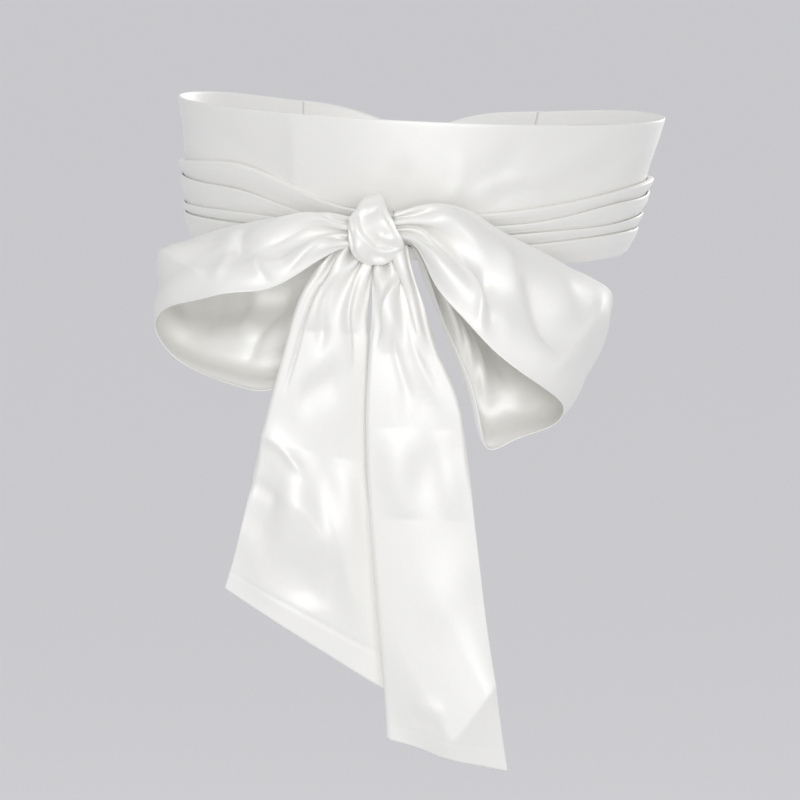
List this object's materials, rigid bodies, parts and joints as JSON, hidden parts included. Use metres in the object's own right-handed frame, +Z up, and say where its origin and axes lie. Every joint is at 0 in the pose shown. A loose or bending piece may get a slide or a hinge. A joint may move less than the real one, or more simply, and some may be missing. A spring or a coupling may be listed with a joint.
{
  "type": "satin sash",
  "caption": "White satin waist sash as worn: a smooth front band with gathered wraps over it, tied at the front in a two-loop bow with two hanging tails.",
  "frame": {"origin": "middle of the waist hollow that the wearer fills, at the band's mid height", "axes": "+Z up along the wearer, -Y out of the front where the bow is, +X to the wearer's left"},
  "size_m": [0.2851, 0.26, 0.3534],
  "materials": {
    "satin": "white satin, smooth and glossy"
  },
  "bodies": {
    "root": {"front_panel": "satin", "over_wrap": "satin", "under_wrap": "satin", "knot": "satin", "right_hand_loop": "satin", "left_hand_loop": "satin", "right_hand_tail": "satin", "left_hand_tail": "satin"}
  },
  "joints": []
}
